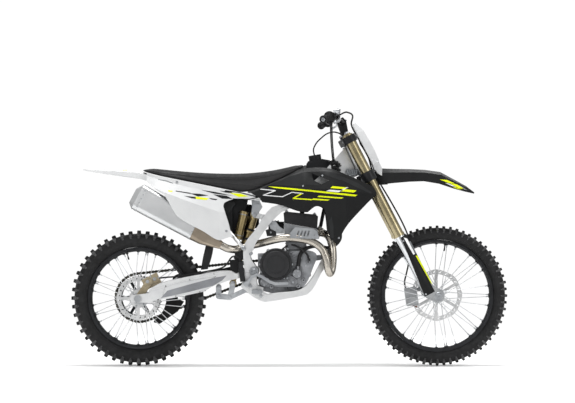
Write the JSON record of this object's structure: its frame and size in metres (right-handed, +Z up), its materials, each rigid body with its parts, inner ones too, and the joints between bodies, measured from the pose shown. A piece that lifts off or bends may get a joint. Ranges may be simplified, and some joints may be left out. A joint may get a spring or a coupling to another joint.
{
  "type": "motocross bike",
  "caption": "Off-road competition motorcycle with knobbly tyres on wire wheels, long fork, high mudguards, narrow seat, exposed engine and side exhaust.",
  "frame": {"origin": "the point on top of the seat that carries the rider, in the bike's middle plane", "axes": "+X forward along the bike, +Y to the rider's left, +Z up"},
  "size_m": [2.1805, 0.8298, 1.2639],
  "materials": {
    "airbox_plastic": "moulded",
    "bar_black": "satin",
    "bolt_steel": "plated",
    "caliper_gold": "anodised",
    "caliper_grey": "satin",
    "cast_metal": "as cast",
    "chain_steel": "oiled",
    "chrome_tube": "polished",
    "clamp_black": "anodised",
    "cover_black": "satin",
    "damper_gold": "anodised",
    "disc_steel": "ground",
    "fork_gold": "anodised",
    "frame_metal": "bead blasted",
    "grip_rubber": "moulded",
    "hub_metal": "machined",
    "lever_metal": "satin",
    "machined_metal": "machined",
    "pipe_steel": "brushed",
    "plastic_black": "satin",
    "plastic_white": "satin",
    "radiator_metal": "brazed",
    "rim_black": "anodised",
    "rubber_black": "moulded",
    "seat_cover": "gripper",
    "silencer_metal": "satin",
    "spoke_steel": "bright",
    "spring_black": "satin",
    "sprocket_metal": "anodised",
    "tank_plastic": "moulded",
    "tyre_rubber": "moulded"
  },
  "bodies": {
    "chassis": {"frame": "frame_metal", "subframe": "frame_metal", "swingarm": "frame_metal", "rear_axle": "bolt_steel", "shock_absorber": "damper_gold", "shock_spring": "spring_black", "shock_linkage": "machined_metal", "crankcase": "cast_metal", "cylinder": "cast_metal", "head_cover": "cover_black", "clutch_cover": "cover_black", "ignition_cover": "cover_black", "throttle_body": "rubber_black", "front_sprocket": "chain_steel", "chain": "chain_steel", "chain_guide": "plastic_black", "chain_slider": "plastic_black", "heat_guard": "machined_metal", "hoses": "rubber_black", "exhaust_header": "pipe_steel", "silencer": "silencer_metal", "silencer_cap": "silencer_metal", "airbox": "airbox_plastic", "radiators": "radiator_metal", "fuel_tank": "tank_plastic", "seat": "seat_cover", "side_panels": "plastic_white", "shrouds": "plastic_black", "rear_fender": "plastic_white", "mud_flap": "rubber_black", "rear_caliper": "caliper_gold", "rear_master_cylinder": "clamp_black", "brake_pedal": "machined_metal", "shift_lever": "machined_metal", "footpegs": "bolt_steel"},
    "steering": {"triple_clamps": "clamp_black", "handlebar": "bar_black", "grips": "grip_rubber", "control_levers": "lever_metal", "fork_outer_tubes": "fork_gold", "fork_inner_tubes": "chrome_tube", "fork_guards": "plastic_black", "number_plate": "plastic_white", "front_fender": "plastic_black", "front_axle": "bolt_steel", "front_caliper": "caliper_grey", "front_brake_hose": "rubber_black"},
    "front_wheel": {"front_tyre": "tyre_rubber", "front_rim": "rim_black", "front_spokes": "spoke_steel", "front_hub": "hub_metal", "front_disc": "disc_steel"},
    "rear_wheel": {"rear_tyre": "tyre_rubber", "rear_rim": "rim_black", "rear_spokes": "spoke_steel", "rear_hub": "hub_metal", "rear_disc": "disc_steel", "rear_sprocket": "sprocket_metal"}
  },
  "joints": [
    {"name": "steering_turn", "type": "hinge", "parent": "chassis", "child": "steering", "pos_m": [0.93552, 0, -0.63447], "axis": [-0.4571, 0, 0.8894], "range_deg": [-42, 42]},
    {"name": "front_wheel_spin", "type": "hinge", "parent": "steering", "child": "front_wheel", "pos_m": [0.988, 0, -0.6075], "axis": [0, 1, 0], "continuous": true},
    {"name": "rear_wheel_spin", "type": "hinge", "parent": "chassis", "child": "rear_wheel", "pos_m": [-0.504, 0, -0.62], "axis": [0, 1, 0], "continuous": true}
  ]
}
